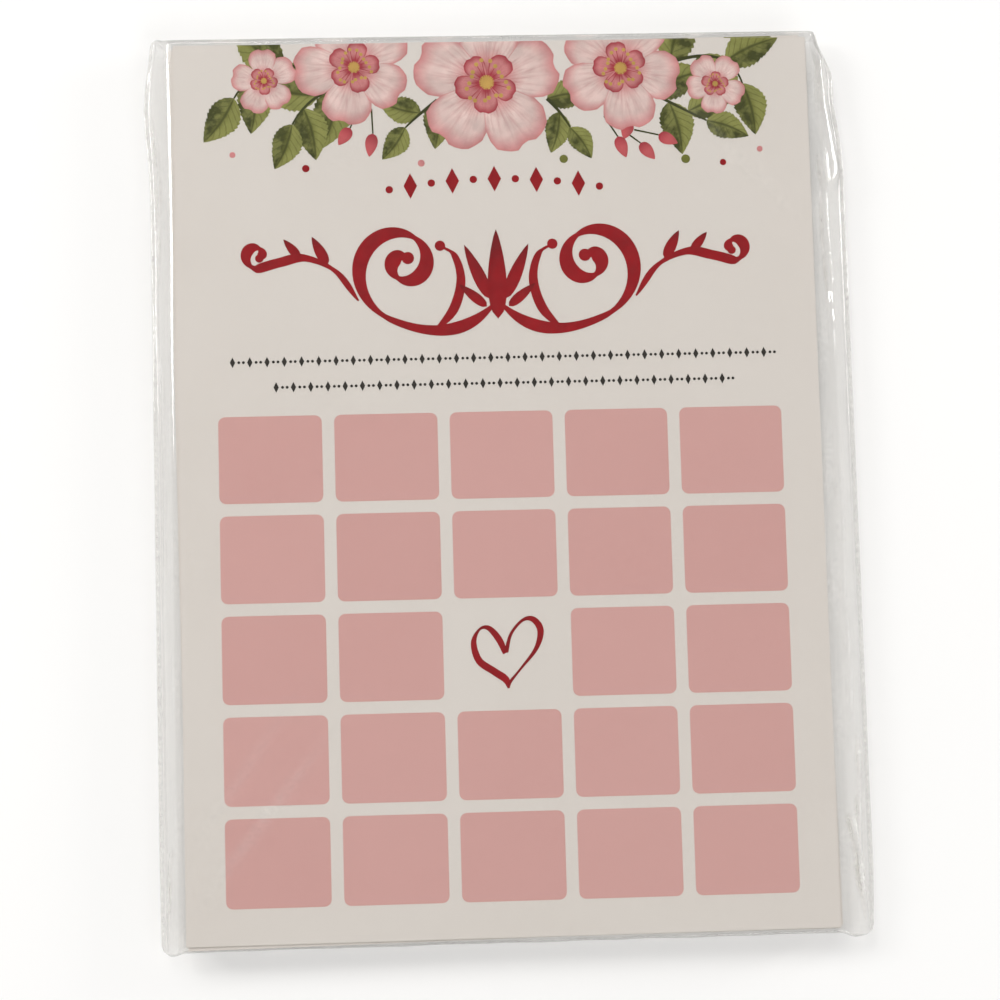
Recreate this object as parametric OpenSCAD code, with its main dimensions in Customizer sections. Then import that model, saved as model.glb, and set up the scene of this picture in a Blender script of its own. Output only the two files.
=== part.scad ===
// A sealed pack of printed game cards: a squared-up deck of cards, each printed
// with a grid of squares round a heart, in a clear film bag.
// The pack lies on its back, with +X to the right of the cards, +Y towards their
// top edges and +Z out of their printed faces. The origin is under the middle of
// the bag, on the surface that it lies on.
// The bag's mouth is at +Y, and its flap is folded down and stuck to the back.

/* [Cards] */
// Number of cards in the pack
card_count = 24; // [2:1:40]
// Width of a card
card_w = 127; // [100:0.5:150]
// Length of a card
card_l = 177.8; // [150:0.1:210]
// Thickness of the card stock
card_t = 0.3; // [0.2:0.01:0.6]
// Thickness of the printed ink
ink_t = 0.02; // [0.01:0.005:0.05]
// Air between one card and the next
card_gap = 0.03; // [0.01:0.005:0.2]

/* [Print] */
// Squares along each side of the grid
grid_n = 5; // [3:2:7]
// Bare paper left and right of the grid
grid_side = 7.8; // [4:0.1:12]
// Bare paper below the grid
grid_foot = 7; // [4:0.1:15]
// Height of a square
square_h = 17.2; // [8:0.1:20]
// Bare paper between two squares
square_gap = 2.45; // [1:0.05:5]
// Radius of a square's corners
square_r = 1.4; // [0.5:0.1:3]
// Width of the heart in the middle square's place
heart_w = 14; // [6:0.1:16]
// Width of the line that the heart is drawn with
heart_line = 1.1; // [0.4:0.1:2.5]

/* [Deck] */
// Turn of the second card, whose corner shows past the first, in degrees
second_turn = 0.55; // [0:0.05:0.6]
// Shift of the second card to the left
second_left = 0.45; // [0:0.05:0.5]
// Shift of the second card to the foot
second_down = 0.15; // [0:0.05:0.3]
// Most that a lower card lies out of line
jog = 0.12; // [0:0.01:0.5]
// Most that a lower card is turned, in degrees
jog_turn = 0.08; // [0:0.01:0.2]

/* [Bag] */
// Thickness of the film
film_t = 0.05; // [0.03:0.01:0.1]
// Room beside the deck, out to the crease in the film
side_room = 1.5; // [1.4:0.1:4]
// Room past each end of the deck
end_room = 1.1; // [1:0.1:4]
// Room between the deck and the front film
front_room = 0.1; // [0.08:0.01:1]
// Distance from the crease to the left weld
left_reach = 2.7; // [1:0.1:12]
// Distance from the crease to the right weld
right_reach = 5; // [1:0.1:12]
// Width of a side weld
weld_w = 1; // [0.5:0.1:3]
// Length over which the right weld draws in towards the mouth
taper_l = 30; // [10:1:60]
// Length over which both welds draw in towards the foot
ear_l = 14; // [5:1:40]

/* [Flap] */
// Length of the flap on the back
flap_l = 32; // [25:1:60]
// How much each side of the flap slants in towards its free edge
flap_slant = 4; // [0:0.5:10]
// Width of the adhesive strip
strip_w = 12; // [5:0.5:15]
// Distance from the flap's free edge to the strip
strip_in = 3; // [1:0.5:8]
// Thickness of the adhesive
strip_t = 0.05; // [0.02:0.01:0.2]

/* [Hidden] */
// Room between the adhesive and the film that it closes on
strip_gap = 0.01;
// Room between the flap's free edge and the step in the rear film
flap_room = 0.5;
// Length of the step that lifts the rear film over the flap
step_l = 1;
// Part of a weld's reach that is left at the mouth, on the left and on the right
left_mouth_share = 0.8;
right_mouth_share = 0.08;
// Part of a weld's reach that is left at the foot
foot_share = 0.72;
// Straight lines that stand for a corner's arc, a weld's curve and the heart
corner_steps = 2;
weld_steps = 4;
heart_steps = 28;
// Height of the weld above the back, as a part of the pack's height
weld_share = 0.5;
// Turns between one lower card's jog and the next, which keep them uneven, in degrees
jog_step = 137;
turn_step = 222;
shift_step = 71;

paper = [0.86, 0.84, 0.81];
blush = [0.80, 0.60, 0.57];
wine = [0.55, 0.12, 0.14];
film = [0.88, 0.92, 0.94, 0.35];
glue = [0.93, 0.91, 0.82, 0.6];

pitch = card_t + ink_t + card_gap;
lip_z = film_t + strip_t + strip_gap;
deck_z = lip_z + film_t + card_gap;
deck_h = card_count * pitch - card_gap;
front_z = deck_z + deck_h + front_room;
pack_h = front_z + film_t;
weld_z = pack_h * weld_share;

// The bag is centred on the origin, so the deck moves over to its narrow side
deck_x = (left_reach - right_reach) / 2;
crease_x = card_w / 2 + side_room;
mouth_y = card_l / 2 + end_room;
flap_y = mouth_y - flap_l;
step_y = flap_y - flap_room;

square_w = (card_w - 2 * grid_side - (grid_n - 1) * square_gap) / grid_n;
column_step = square_w + square_gap;
row_step = square_h + square_gap;
grid_foot_y = -card_l / 2 + grid_foot + square_h / 2;
middle = (grid_n - 1) / 2;

function card_name(i) = str("card_", i < 10 ? "0" : "", i);
function square_at(column, row) = [(column - middle) * column_step, grid_foot_y + row * row_step];

// How far card i is turned and shifted: the first is square, the second shows past it
function card_turn(i) = i == 1 ? 0 : i == 2 ? second_turn : jog_turn * sin(i * turn_step);
function card_shift(i) = i == 1 ? [0, 0]
    : i == 2 ? [-second_left, -second_down]
    : jog * [sin(i * jog_step), cos(i * shift_step)];

// A rectangle about the origin with round corners
function round_square(w, h, r) = [
    for (corner = [0:3], s = [0:corner_steps])
        let (a = 90 * (corner + s / corner_steps))
        [(cos(90 * corner + 45) > 0 ? 1 : -1) * (w / 2 - r) + r * cos(a),
         (sin(90 * corner + 45) > 0 ? 1 : -1) * (h / 2 - r) + r * sin(a)]
];

// A heart one unit wide, from the usual sum of cosines
heart_shares = [13, 5, 2, 1] / 32;
heart_half_share = 0.5;
function heart_point(a) = [
    heart_half_share * pow(sin(a), 3),
    heart_shares[0] * cos(a) - heart_shares[1] * cos(2 * a)
        - heart_shares[2] * cos(3 * a) - heart_shares[3] * cos(4 * a)
];
function heart(w) = [for (k = [0:heart_steps - 1]) w * heart_point(360 * k / heart_steps)];

// Distance from the crease to a weld at y: full along the middle, less at both ends
function ease(t) = sin(90 * min(1, max(0, t)));
function reach_at(y, reach, mouth_share) = reach
    * (mouth_share + (1 - mouth_share) * ease((mouth_y - y) / taper_l))
    * (foot_share + (1 - foot_share) * ease((mouth_y + y) / ear_l));
weld_ys = concat(
    [for (k = [0:weld_steps]) -mouth_y + ear_l * k / weld_steps],
    [for (k = [0:weld_steps]) mouth_y - taper_l * (weld_steps - k) / weld_steps]
);

module grid_print() {
    for (column = [0:grid_n - 1], row = [0:grid_n - 1])
        if (column != middle || row != middle)
            translate(square_at(column, row))
                polygon(round_square(square_w, square_h, square_r));
}

module heart_print() {
    translate(square_at(middle, middle))
        difference() {
            polygon(heart(heart_w));
            polygon(heart(heart_w - 2 * heart_line));
        }
}

// The ink is one solid with the stock, so it starts inside it
module inked() {
    translate([0, 0, card_t / 2])
        linear_extrude(card_t / 2 + ink_t)
            children();
}

module card(i) {
    translate([deck_x, 0, deck_z + (card_count - i) * pitch] + [each card_shift(i), 0])
        rotate(card_turn(i)) {
            color(paper)
                linear_extrude(card_t)
                    square([card_w, card_l], center = true);
            color(blush)
                inked()
                    grid_print();
            color(wine)
                inked()
                    heart_print();
        }
}

module front_panel() {
    color(film)
        translate([deck_x - crease_x, -mouth_y, front_z])
            cube([2 * crease_x, 2 * mouth_y, film_t]);
}

// The rear film steps up at the flap, so that both lie on one flat face
module rear_panel() {
    color(film)
        translate([deck_x - crease_x, 0, 0])
            rotate([90, 0, 90])
                linear_extrude(2 * crease_x)
                    polygon([
                        [-mouth_y, 0],
                        [step_y - step_l, 0],
                        [step_y, lip_z],
                        [step_y, lip_z + film_t],
                        [step_y - step_l, film_t],
                        [-mouth_y, film_t]
                    ]);
}

module rear_lip() {
    color(film)
        translate([deck_x - crease_x, step_y, lip_z])
            cube([2 * crease_x, mouth_y - step_y, film_t]);
}

// A strip of film from the crease at height z to the weld at height weld_foot
module gusset(reach, mouth_share, z, weld_foot) {
    n = len(weld_ys);
    crease = [for (y = weld_ys) [crease_x, y, z]];
    weld = [for (y = weld_ys) [crease_x + reach_at(y, reach, mouth_share), y, weld_foot]];
    low = concat(crease, weld);
    high = [for (p = low) p + [0, 0, film_t]];
    ends = [[0, n, 3 * n, 2 * n], [n - 1, 3 * n - 1, 4 * n - 1, 2 * n - 1]];
    color(film)
        polyhedron(
            points = concat(low, high),
            faces = concat(
                [for (k = [0:n - 2], f = strip_faces(k, n)) f],
                [for (e = ends, f = [[e[0], e[2], e[1]], [e[0], e[3], e[2]]]) f]
            )
        );
}

// The faces of step k of a strip with n stations, two triangles to each side
function strip_faces(k, n) = [
    for (q = [
        [k, k + 1, n + k + 1, n + k],
        [2 * n + k, 3 * n + k, 3 * n + k + 1, 2 * n + k + 1],
        [k, 2 * n + k, 2 * n + k + 1, k + 1],
        [n + k, n + k + 1, 3 * n + k + 1, 3 * n + k]
    ], f = [[q[0], q[2], q[1]], [q[0], q[3], q[2]]]) f
];

module weld(reach, mouth_share) {
    inner = [for (y = weld_ys) [crease_x + reach_at(y, reach, mouth_share), y]];
    outer = [for (k = [len(inner) - 1:-1:0]) inner[k] + [weld_w, 0]];
    color(film)
        translate([0, 0, weld_z - film_t])
            linear_extrude(2 * film_t)
                polygon(concat(inner, outer));
}

// Shapes made for the right side of the deck, moved there or mirrored to the left
module on_right() {
    translate([deck_x, 0, 0])
        children();
}

module on_left() {
    translate([deck_x, 0, 0])
        mirror([1, 0, 0])
            children();
}

module left_front_gusset() {
    on_left()
        gusset(left_reach, left_mouth_share, front_z, weld_z);
}

module left_rear_gusset() {
    on_left()
        gusset(left_reach, left_mouth_share, lip_z, weld_z - film_t);
}

module left_weld() {
    on_left()
        weld(left_reach, left_mouth_share);
}

module right_front_gusset() {
    on_right()
        gusset(right_reach, right_mouth_share, front_z, weld_z);
}

module right_rear_gusset() {
    on_right()
        gusset(right_reach, right_mouth_share, lip_z, weld_z - film_t);
}

module right_weld() {
    on_right()
        weld(right_reach, right_mouth_share);
}

// A film wall across one end of the deck, drawn out to the welds at mid height
module end_wall(y, low_z, high_z) {
    left = reach_at(y, left_reach, left_mouth_share);
    right = reach_at(y, right_reach, right_mouth_share);
    color(film)
        rotate([90, 0, 0])
            linear_extrude(film_t)
                polygon([
                    [deck_x - crease_x, low_z],
                    [deck_x + crease_x, low_z],
                    [deck_x + crease_x + right, weld_z],
                    [deck_x + crease_x, high_z],
                    [deck_x - crease_x, high_z],
                    [deck_x - crease_x - left, weld_z]
                ]);
}

module bottom_fold() {
    translate([0, -mouth_y, 0])
        end_wall(-mouth_y, 0, pack_h);
}

// The film that goes from the front panel's top edge down over the mouth
module mouth_band() {
    translate([0, mouth_y + film_t, 0])
        end_wall(mouth_y, film_t, front_z);
}

module seal_flap() {
    color(film)
        linear_extrude(film_t)
            polygon([
                [deck_x - crease_x + flap_slant, flap_y],
                [deck_x + crease_x - flap_slant, flap_y],
                [deck_x + crease_x, mouth_y],
                [deck_x - crease_x, mouth_y]
            ]);
}

module seal_strip() {
    color(glue)
        translate([deck_x - crease_x + flap_slant, flap_y + strip_in, film_t])
            cube([2 * (crease_x - flap_slant), strip_w, strip_t]);
}

for (i = [1:card_count])
    card(i);
front_panel();
rear_panel();
rear_lip();
left_front_gusset();
left_rear_gusset();
left_weld();
right_front_gusset();
right_rear_gusset();
right_weld();
bottom_fold();
mouth_band();
seal_flap();
seal_strip();
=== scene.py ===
"""A sealed pack of printed bingo cards in a clear film bag: the looks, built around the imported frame.

Lengths in the code are millimetres, and meshes are made in metres. +Z is up, and the cards' top end is +Y.
"""
import math

import bmesh
import bpy
import numpy as np
from mathutils import Matrix, Vector

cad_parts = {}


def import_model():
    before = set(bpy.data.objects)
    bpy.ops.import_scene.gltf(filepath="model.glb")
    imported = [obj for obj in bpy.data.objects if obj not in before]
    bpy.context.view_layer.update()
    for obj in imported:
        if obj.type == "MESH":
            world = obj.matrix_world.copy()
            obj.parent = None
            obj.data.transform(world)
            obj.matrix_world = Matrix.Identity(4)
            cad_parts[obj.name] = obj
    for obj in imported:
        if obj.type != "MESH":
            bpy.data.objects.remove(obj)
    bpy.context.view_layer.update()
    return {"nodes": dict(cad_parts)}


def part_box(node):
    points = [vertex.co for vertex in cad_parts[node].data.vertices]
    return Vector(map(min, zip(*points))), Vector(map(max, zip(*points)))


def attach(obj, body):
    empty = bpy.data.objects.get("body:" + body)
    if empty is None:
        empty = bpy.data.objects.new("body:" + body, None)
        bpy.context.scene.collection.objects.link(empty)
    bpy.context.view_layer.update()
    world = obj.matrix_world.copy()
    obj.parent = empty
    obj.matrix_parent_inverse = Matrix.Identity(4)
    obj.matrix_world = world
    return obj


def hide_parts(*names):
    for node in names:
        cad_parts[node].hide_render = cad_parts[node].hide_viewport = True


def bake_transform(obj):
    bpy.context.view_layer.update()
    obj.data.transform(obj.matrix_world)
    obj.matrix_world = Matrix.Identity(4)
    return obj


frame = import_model()

MM = 0.001
scene = bpy.context.scene
scene.view_settings.view_transform = "Standard"

# Cards and their print, measured from the middle of a card
CARDS = [name for name in sorted(frame["nodes"]) if name.startswith("card_")]
CARD_W = 127.0
CARD_L = 177.8
INK_T = 0.02
GRID_N = 5
COLUMN_STEP = 22.77
ROW_STEP = 19.65
GRID_MIDDLE = -34.0
SQUARE_W = 20.32
SQUARE_H = 17.2
SQUARE_R = 1.4
CORNER_STEPS = 6
COVER = 0.03

# How high each kind of ink lies over the squares' top, so that none shares a plane with another
LEAF_LEVEL = 0.002
STEM_LEVEL = 0.0036
BACK_LEVEL = 0.004
FRONT_LEVEL = 0.010
INK_LEVEL = 0.003
INK_STEP = 0.001
LEAF_STEP = 0.00032
PETAL_STEP = 0.0008
RING_STEP = 0.0044
EYE_STEP = 0.0042
STAMEN_STEP = 0.0002

# The bag, as the frame has it
FILM_T = 0.05
WELD_W = 1.0
TAPER_L = 30.0
EAR_L = 14.0
FOOT_SHARE = 0.94
REACH = {-1: 2.7, 1: 5.0}
MOUTH_SHARE = {-1: 0.8, 1: 0.08}
# Where the sides stand out a little more below the mouth: by how much, how far down and over what length
SHOULDER = {-1: (1.25, 13.0, 10.0), 1: (1.25, 7.5, 4.5)}


def box_of(name):
    """A CAD node's lowest and highest corner and the height of its middle, in millimetres."""
    low, high = (np.array(corner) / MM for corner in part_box(name))
    return low, high, (low[2] + high[2]) / 2


front_low, front_high, FRONT_Z = box_of("front_panel")
lip_low, _, LIP_Z = box_of("rear_lip")
flap_low, flap_high, FLAP_Z = box_of("seal_flap")
REAR_Z = box_of("rear_panel")[2]
WELD_Z = box_of("left_weld")[2]
CREASE = {-1: front_low[0], 1: front_high[0]}
MOUTH_Y = front_high[1]


# Colours

def tone(red, green, blue):
    """The linear colour of a screen colour given from 0 to 255."""
    shares = np.array((red, green, blue)) / 255
    linear = np.where(shares <= 0.04045, shares / 12.92, ((shares + 0.055) / 1.055) ** 2.4)
    return (*linear.tolist(), 1.0)


PAPER = tone(225, 219, 213)
PAPER_DEEP = tone(219, 212, 205)
BLUSH = tone(215, 169, 164)
BLUSH_DEEP = tone(208, 160, 155)
RED = tone(151, 4, 18)
RED_DEEP = tone(118, 4, 14)
GREY_INK = tone(50, 46, 41)
OLIVE = tone(112, 114, 50)
OLIVE_PALE = tone(148, 150, 84)
OLIVE_DEEP = tone(58, 62, 22)
PINK_PALE = tone(228, 204, 198)
PINK = tone(207, 136, 136)
PINK_DEEP = tone(164, 49, 62)
BERRY = tone(198, 92, 96)
POLLEN = tone(196, 158, 84)
FLOOR = tone(246, 245, 243)
FLOOR_DEEP = tone(243, 242, 240)
FILM_WHITE = tone(244, 243, 240)
FILM_SHEER = (0.984, 0.982, 0.978, 1)
ADHESIVE_SHEER = (0.95, 0.955, 0.95, 1)


# Material nodes

def new_material(name):
    material = bpy.data.materials.new(name)
    material.use_nodes = True
    tree = material.node_tree
    tree.nodes.clear()
    return material, tree


def socket(sockets, name):
    """The socket in use that has this name: nodes with several kinds of value hide the others."""
    return next(s for s in sockets if s.name == name and s.enabled)


def feed(tree, entry, value):
    """Gives an input its value: another node's output to link, or a plain value."""
    if isinstance(value, bpy.types.NodeSocket):
        tree.links.new(value, entry)
    else:
        entry.default_value = value


def put(tree, kind, values=None, **settings):
    """Adds a node with these settings. values are its inputs, by name."""
    node = tree.nodes.new(kind)
    for key, setting in settings.items():
        setattr(node, key, setting)
    for name, value in (values or {}).items():
        feed(tree, socket(node.inputs, name), value)
    return node


def maths(tree, operation, *values):
    node = put(tree, "ShaderNodeMath", operation=operation)
    for entry, value in zip(node.inputs, values):
        feed(tree, entry, value)
    return node.outputs[0]


def ranged(tree, value, from_low, from_high, to_low, to_high):
    values = {"Value": value, "From Min": from_low, "From Max": from_high}
    node = put(tree, "ShaderNodeMapRange", {**values, "To Min": to_low, "To Max": to_high})
    return node.outputs["Result"]


def noise(tree, where, scale, detail=2.0):
    return put(tree, "ShaderNodeTexNoise", {"Vector": where, "Scale": scale, "Detail": detail}).outputs["Fac"]


def mixed(tree, share, first, second, blend="MIX"):
    values = {"Factor": share, "A": first, "B": second}
    node = put(tree, "ShaderNodeMix", values, data_type="RGBA", blend_type=blend)
    return socket(node.outputs, "Result")


def mixed_shaders(tree, share, first, second):
    node = put(tree, "ShaderNodeMixShader", {"Fac": share})
    tree.links.new(first, node.inputs[1])
    tree.links.new(second, node.inputs[2])
    return node.outputs[0]


def paper_grain(tree, where):
    """The fine tooth of uncoated card, as a normal."""
    tooth = noise(tree, where, 2600.0, 3.0)
    bump = {"Height": tooth, "Strength": 0.18, "Distance": 0.02 * MM}
    return put(tree, "ShaderNodeBump", bump).outputs["Normal"]


def finish_ink(tree, colour, where, rough_low, rough_high):
    """A Principled surface of this colour with the paper's tooth, and a roughness that varies a little."""
    rough = ranged(tree, noise(tree, where, 420.0), 0.3, 0.7, rough_low, rough_high)
    values = {"Base Color": colour, "Roughness": rough, "Normal": paper_grain(tree, where)}
    shader = put(tree, "ShaderNodeBsdfPrincipled", {**values, "Specular IOR Level": 0.2})
    put(tree, "ShaderNodeOutputMaterial", {"Surface": shader.outputs[0]})


def card_stock():
    """Off-white card, with faint fibres and a slow mottle."""
    material, tree = new_material("card_stock")
    where = put(tree, "ShaderNodeTexCoord").outputs["Object"]
    fibre = ranged(tree, noise(tree, where, 1500.0, 4.0), 0.3, 0.7, 0.0, 1.0)
    mottle = ranged(tree, noise(tree, where, 38.0, 3.0), 0.3, 0.7, 0.0, 0.6)
    colour = mixed(tree, maths(tree, "MULTIPLY", fibre, mottle), PAPER, PAPER_DEEP)
    finish_ink(tree, colour, where, 0.62, 0.76)
    return material


def square_ink():
    """The flat blush tint of the squares, a little uneven, as a press lays it on card."""
    material, tree = new_material("square_ink")
    where = put(tree, "ShaderNodeTexCoord").outputs["Object"]
    cloud = ranged(tree, noise(tree, where, 55.0, 4.0), 0.3, 0.7, 0.0, 0.7)
    grain = ranged(tree, noise(tree, where, 1700.0, 2.0), 0.3, 0.7, 0.0, 0.6)
    shade = put(tree, "ShaderNodeAttribute", attribute_name="shade").outputs["Fac"]
    share = maths(tree, "ADD", maths(tree, "MULTIPLY", cloud, grain), shade)
    finish_ink(tree, mixed(tree, share, BLUSH, BLUSH_DEEP), where, 0.58, 0.72)
    return material


def tinted_ink(name, veins=None):
    """Ink of the mesh's own tint, washed lighter and darker as watercolour is. veins adds lines to it."""
    material, tree = new_material(name)
    where = put(tree, "ShaderNodeTexCoord").outputs["Object"]
    tint = put(tree, "ShaderNodeAttribute", attribute_name="tint").outputs["Color"]
    wash = ranged(tree, noise(tree, where, 330.0, 5.0), 0.3, 0.7, 0.86, 1.1)
    grey = put(tree, "ShaderNodeCombineXYZ", {"X": wash, "Y": wash, "Z": wash}).outputs[0]
    colour = mixed(tree, 1.0, tint, grey, "MULTIPLY")
    if veins:
        colour = veins(tree, colour)
    finish_ink(tree, colour, where, 0.58, 0.72)
    return material


def along_and_across(tree):
    """Where a point lies on its petal or leaf: from base to tip, and from edge to edge as -1 to 1."""
    grain = put(tree, "ShaderNodeUVMap", uv_map="grain").outputs["UV"]
    parts = put(tree, "ShaderNodeSeparateXYZ", {"Vector": grain})
    across = maths(tree, "MULTIPLY_ADD", parts.outputs["Y"], 2.0, -1.0)
    return parts.outputs["X"], across


def petal_veins(tree, colour):
    """Streaks that run from a petal's base and fade towards its edge."""
    along, across = along_and_across(tree)
    spread = put(tree, "ShaderNodeCombineXYZ", {"X": maths(tree, "MULTIPLY", along, 2.2)})
    tree.links.new(maths(tree, "MULTIPLY", across, 11.0), spread.inputs["Y"])
    streak = ranged(tree, noise(tree, spread.outputs[0], 1.0, 3.0), 0.45, 0.72, 0.0, 1.0)
    fade = ranged(tree, along, 0.15, 0.95, 0.55, 0.08)
    return mixed(tree, maths(tree, "MULTIPLY", streak, fade), colour, PINK_DEEP)


def leaf_veins(tree, colour):
    """A leaf's midrib and the side ribs that lean towards its tip."""
    along, across = along_and_across(tree)
    side = maths(tree, "ABSOLUTE", across)
    midrib = ranged(tree, side, 0.03, 0.13, 1.0, 0.0)
    lean = maths(tree, "MULTIPLY_ADD", side, -1.7, maths(tree, "MULTIPLY", along, 7.0))
    rib = ranged(tree, maths(tree, "PINGPONG", lean, 0.5), 0.03, 0.13, 0.55, 0.0)
    share = maths(tree, "MULTIPLY", maths(tree, "MAXIMUM", midrib, rib), 0.75)
    where = put(tree, "ShaderNodeTexCoord").outputs["Object"]
    dapple = ranged(tree, noise(tree, where, 520.0, 3.0), 0.42, 0.62, 0.0, 0.55)
    return mixed(tree, share, mixed(tree, dapple, colour, OLIVE_PALE), OLIVE_DEEP)


def clear_film(name, sheer, rough, milk):
    """Clear film, glossier at a glancing angle. milk and the haze attribute whiten it."""
    material, tree = new_material(name)
    where = put(tree, "ShaderNodeTexCoord").outputs["Object"]
    ripple = noise(tree, where, 260.0, 2.0)
    bump = put(tree, "ShaderNodeBump", {"Height": ripple, "Strength": 0.2, "Distance": 0.03 * MM}).outputs[0]
    facing = put(tree, "ShaderNodeLayerWeight", {"Normal": bump}).outputs["Facing"]
    glance = maths(tree, "POWER", facing, 5.0)
    mirror = maths(tree, "MULTIPLY_ADD", glance, 0.9, 0.04)
    pane = put(tree, "ShaderNodeBsdfTransparent", {"Color": sheer}).outputs[0]
    gloss = put(tree, "ShaderNodeBsdfGlossy", {"Normal": bump, "Roughness": rough}).outputs[0]
    clear = mixed_shaders(tree, mirror, pane, gloss)
    worn = put(tree, "ShaderNodeAttribute", attribute_name="haze").outputs["Fac"]
    patchy = ranged(tree, noise(tree, where, 900.0, 4.0), 0.3, 0.7, 0.35, 1.0)
    white = put(tree, "ShaderNodeBsdfDiffuse", {"Color": FILM_WHITE}).outputs[0]
    both = mixed_shaders(tree, maths(tree, "MULTIPLY_ADD", worn, patchy, milk), clear, white)
    put(tree, "ShaderNodeOutputMaterial", {"Surface": both})
    return material


# Meshes

def mesh_of(name, points, faces, tints=None, grains=None, material=None, smooth=False):
    """A mesh from points in millimetres, with a tint and a place on its leaf or petal for each point."""
    mesh = bpy.data.meshes.new(name)
    mesh.from_pydata((np.asarray(points, float) * MM).tolist(), [], faces)
    if tints is not None:
        colours = mesh.attributes.new("tint", "FLOAT_COLOR", "POINT")
        colours.data.foreach_set("color", np.asarray(tints, np.float32).ravel())
    if grains is not None:
        places = mesh.uv_layers.new(name="grain")
        corners = np.zeros(len(mesh.loops), np.int32)
        mesh.loops.foreach_get("vertex_index", corners)
        places.data.foreach_set("uv", np.asarray(grains, np.float32)[corners].ravel())
    if material:
        mesh.materials.append(material)
    mesh.polygons.foreach_set("use_smooth", [smooth] * len(mesh.polygons))
    mesh.update()
    return mesh


def object_of(name, mesh):
    piece = bpy.data.objects.new(name, mesh)
    scene.collection.objects.link(piece)
    return piece


def grid_faces(rows, columns):
    """Quads of a grid of points stored row by row."""
    first = (np.arange(rows - 1)[:, None] * columns + np.arange(columns - 1)).ravel()
    return np.stack([first, first + 1, first + columns + 1, first + columns], 1).tolist()


def joined(name, objects):
    """One object from several, with their materials, tints and UV maps."""
    with bpy.context.temp_override(active_object=objects[0], selected_editable_objects=objects):
        bpy.ops.object.join()
    objects[0].name = name
    return objects[0]


def settled(piece):
    """Puts a piece's modifiers into its mesh."""
    graph = bpy.context.evaluated_depsgraph_get()
    worked = piece.evaluated_get(graph)
    mesh = bpy.data.meshes.new_from_object(worked, preserve_all_data_layers=True, depsgraph=graph)
    piece.modifiers.clear()
    piece.data = mesh
    return piece


def thicken(piece, thickness, offset):
    """Gives a sheet its thickness, in millimetres."""
    wall = piece.modifiers.new("thickness", "SOLIDIFY")
    wall.thickness = thickness * MM
    wall.offset = offset
    wall.use_even_offset = False
    return settled(piece)


# Curves and strokes

def through(points, steps=14):
    """A smooth line through the points, which may carry more than two values each."""
    p = np.asarray(points, float)
    p = np.vstack([2 * p[0] - p[1], p, 2 * p[-1] - p[-2]])
    t = np.linspace(0, 1, steps, endpoint=False)[:, None]
    runs = [
        0.5 * (2 * b + (c - a) * t + (2 * a - 5 * b + 4 * c - d) * t**2 + (3 * b - a - 3 * c + d) * t**3)
        for a, b, c, d in zip(p[:-3], p[1:-2], p[2:-1], p[3:])
    ]
    return np.vstack([*runs, p[-2:-1]])


def stroke(line, level, thin, thick, widest):
    """A brush or pen stroke: line holds x, y and width. It darkens where it is thin."""
    line = np.asarray(line, float)
    place, width = line[:, :2], np.maximum(line[:, 2:3], 0.04)
    run = np.gradient(place, axis=0)
    run /= np.linalg.norm(run, axis=1, keepdims=True)
    side = np.c_[-run[:, 1], run[:, 0]] * width / 2
    flat = np.vstack([place - side, place, place + side])
    points = np.c_[flat, np.full(len(flat), level)]
    share = np.clip(width / widest, 0, 1)
    tints = np.tile(np.asarray(thin) * (1 - share) + np.asarray(thick) * share, (3, 1))
    grains = np.full((len(points), 2), 0.5)
    return points, np.array(grid_faces(3, len(line))), tints, grains


def scroll(middle, start_r, end_r, start, turn, steps=40):
    """Points of a spiral that winds in about its middle, from the angle start through turn, in degrees."""
    t = np.linspace(0, 1, steps)
    radius = start_r * (end_r / start_r) ** t
    angle = np.radians(start + turn * t)
    return np.c_[middle[0] + radius * np.cos(angle), middle[1] + radius * np.sin(angle)]


def nib(line, broad, fine, taper=0.1, slant=35):
    """Adds the width that a broad pen gives a line at this slant, in degrees. Both ends taper."""
    run = np.gradient(line, axis=0)
    heading = np.arctan2(run[:, 1], run[:, 0])
    share = np.linspace(0, 1, len(line))
    ends = np.clip(np.minimum(share, 1 - share) / taper, 0, 1)
    width = fine + (broad - fine) * np.abs(np.sin(heading - math.radians(slant)))
    return np.c_[line, width * (0.25 + 0.75 * np.sin(ends * math.pi / 2))]


def bowed(start, bend, end, steps):
    """Points of a line that bends once."""
    t = np.linspace(0, 1, steps)[:, None]
    return (1 - t) ** 2 * np.array(start) + 2 * t * (1 - t) * np.array(bend) + t**2 * np.array(end)


def mirrored(shape):
    """The same shape on the other side of the card's middle, with its faces turned back up."""
    points, faces, tints, grains = shape
    return points * (-1, 1, 1), faces[:, ::-1], tints, grains


def shapes_object(name, shapes, material):
    """One object from several flat shapes."""
    starts = np.cumsum([0] + [len(s[0]) for s in shapes])
    faces = [face for s, start in zip(shapes, starts) for face in (np.asarray(s[1]) + start).tolist()]
    points, tints, grains = (np.vstack([s[k] for s in shapes]) for k in (0, 2, 3))
    return object_of(name, mesh_of(name, points, faces, tints, grains, material))


def spot(x, y, radius, level, tint, corners=16):
    """A round dot."""
    angle = np.arange(corners) * 2 * math.pi / corners
    points = np.c_[x + radius * np.cos(angle), y + radius * np.sin(angle), np.full(corners, level)]
    strips = [[i, i + 1, corners - 2 - i, corners - 1 - i] for i in range(corners // 2 - 1)]
    return points, np.array(strips), np.tile(tint, (corners, 1)), np.full((corners, 2), 0.5)


# Geometry node trees

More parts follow.
